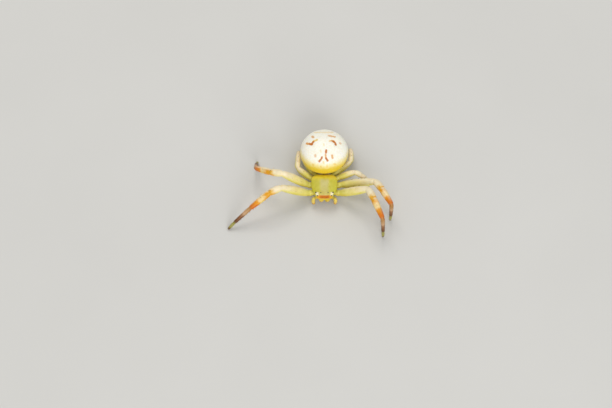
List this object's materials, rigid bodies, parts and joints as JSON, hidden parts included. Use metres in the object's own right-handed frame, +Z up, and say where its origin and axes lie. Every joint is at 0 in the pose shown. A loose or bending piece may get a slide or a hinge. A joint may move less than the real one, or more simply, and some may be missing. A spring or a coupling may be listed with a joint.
{
  "type": "crab spider",
  "caption": "Life-size crab spider standing on arched legs, with a round pale abdomen, a flat shield-like carapace and long banded front legs held out to the sides.",
  "frame": {"origin": "on the floor, in the middle of the rectangle that the whole stance covers", "axes": "+Z up, the spider faces -Y and its left side is towards +X, so that +X is the longest extent"},
  "size_m": [0.0186, 0.0124, 0.0046],
  "materials": {
    "abdomen_white": "matte, fine waxy sheen",
    "carapace_yellow_green": "satin",
    "leg_straw": "satin",
    "leg_tip_brown": "satin",
    "mouthpart_yellow": "satin",
    "eye_black": "gloss"
  },
  "bodies": {
    "root": {"carapace": "carapace_yellow_green", "sternum": "carapace_yellow_green", "maxillae": "mouthpart_yellow", "pedicel": "carapace_yellow_green", "abdomen": "abdomen_white", "spinnerets": "mouthpart_yellow", "chelicera_left": "mouthpart_yellow", "pedipalp_left": "mouthpart_yellow", "chelicera_right": "mouthpart_yellow", "pedipalp_right": "mouthpart_yellow", "eye_front_middle_left": "eye_black", "eye_front_side_left": "eye_black", "eye_rear_middle_left": "eye_black", "eye_rear_side_left": "eye_black", "eye_front_middle_right": "eye_black", "eye_front_side_right": "eye_black", "eye_rear_middle_right": "eye_black", "eye_rear_side_right": "eye_black", "leg_1_left_coxa": "leg_straw", "leg_1_left_femur": "leg_straw", "leg_1_left_patella": "leg_straw", "leg_1_left_tibia": "leg_straw", "leg_1_left_foot": "leg_tip_brown", "leg_1_right_coxa": "leg_straw", "leg_1_right_femur": "leg_straw", "leg_1_right_patella": "leg_straw", "leg_1_right_tibia": "leg_straw", "leg_1_right_foot": "leg_tip_brown", "leg_2_left_coxa": "leg_straw", "leg_2_left_femur": "leg_straw", "leg_2_left_patella": "leg_straw", "leg_2_left_tibia": "leg_straw", "leg_2_left_foot": "leg_tip_brown", "leg_2_right_coxa": "leg_straw", "leg_2_right_femur": "leg_straw", "leg_2_right_patella": "leg_straw", "leg_2_right_tibia": "leg_straw", "leg_2_right_foot": "leg_tip_brown", "leg_3_left_coxa": "leg_straw", "leg_3_left_femur": "leg_straw", "leg_3_left_patella": "leg_straw", "leg_3_left_tibia": "leg_straw", "leg_3_left_foot": "leg_tip_brown", "leg_3_right_coxa": "leg_straw", "leg_3_right_femur": "leg_straw", "leg_3_right_patella": "leg_straw", "leg_3_right_tibia": "leg_straw", "leg_3_right_foot": "leg_tip_brown", "leg_4_left_coxa": "leg_straw", "leg_4_left_femur": "leg_straw", "leg_4_left_patella": "leg_straw", "leg_4_left_tibia": "leg_straw", "leg_4_left_foot": "leg_tip_brown", "leg_4_right_coxa": "leg_straw", "leg_4_right_femur": "leg_straw", "leg_4_right_patella": "leg_straw", "leg_4_right_tibia": "leg_straw", "leg_4_right_foot": "leg_tip_brown"}
  },
  "joints": []
}
